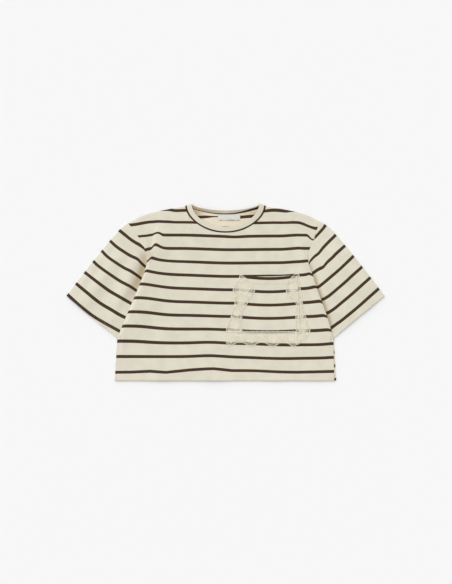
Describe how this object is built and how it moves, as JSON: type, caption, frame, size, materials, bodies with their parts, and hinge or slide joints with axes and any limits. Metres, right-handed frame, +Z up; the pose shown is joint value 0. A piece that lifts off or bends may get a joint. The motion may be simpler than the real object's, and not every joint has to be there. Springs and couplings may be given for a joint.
{
  "type": "crop top",
  "caption": "Boxy short-sleeved crop top in striped jersey, laid flat, with a crew neckband and a large lace-edged breast pocket.",
  "frame": {"origin": "centre of the bounding box, on the table that the top lies on", "axes": "+X from the wearer's right to the wearer's left, +Y from the hem to the neck, +Z up from the table"},
  "size_m": [0.746, 0.4156, 0.0076],
  "materials": {
    "striped_jersey": "matte cream cotton jersey with narrow dark brown stripes",
    "lace": "matte cream cotton lace",
    "label": "smooth off-white woven tape, blank"
  },
  "bodies": {
    "root": {"back": "striped_jersey", "front": "striped_jersey", "sleeve_right": "striped_jersey", "sleeve_left": "striped_jersey", "neckband": "striped_jersey", "label": "label", "pocket": "striped_jersey", "lace_inner": "lace", "lace_outer": "lace", "lace_foot": "lace"}
  },
  "joints": []
}
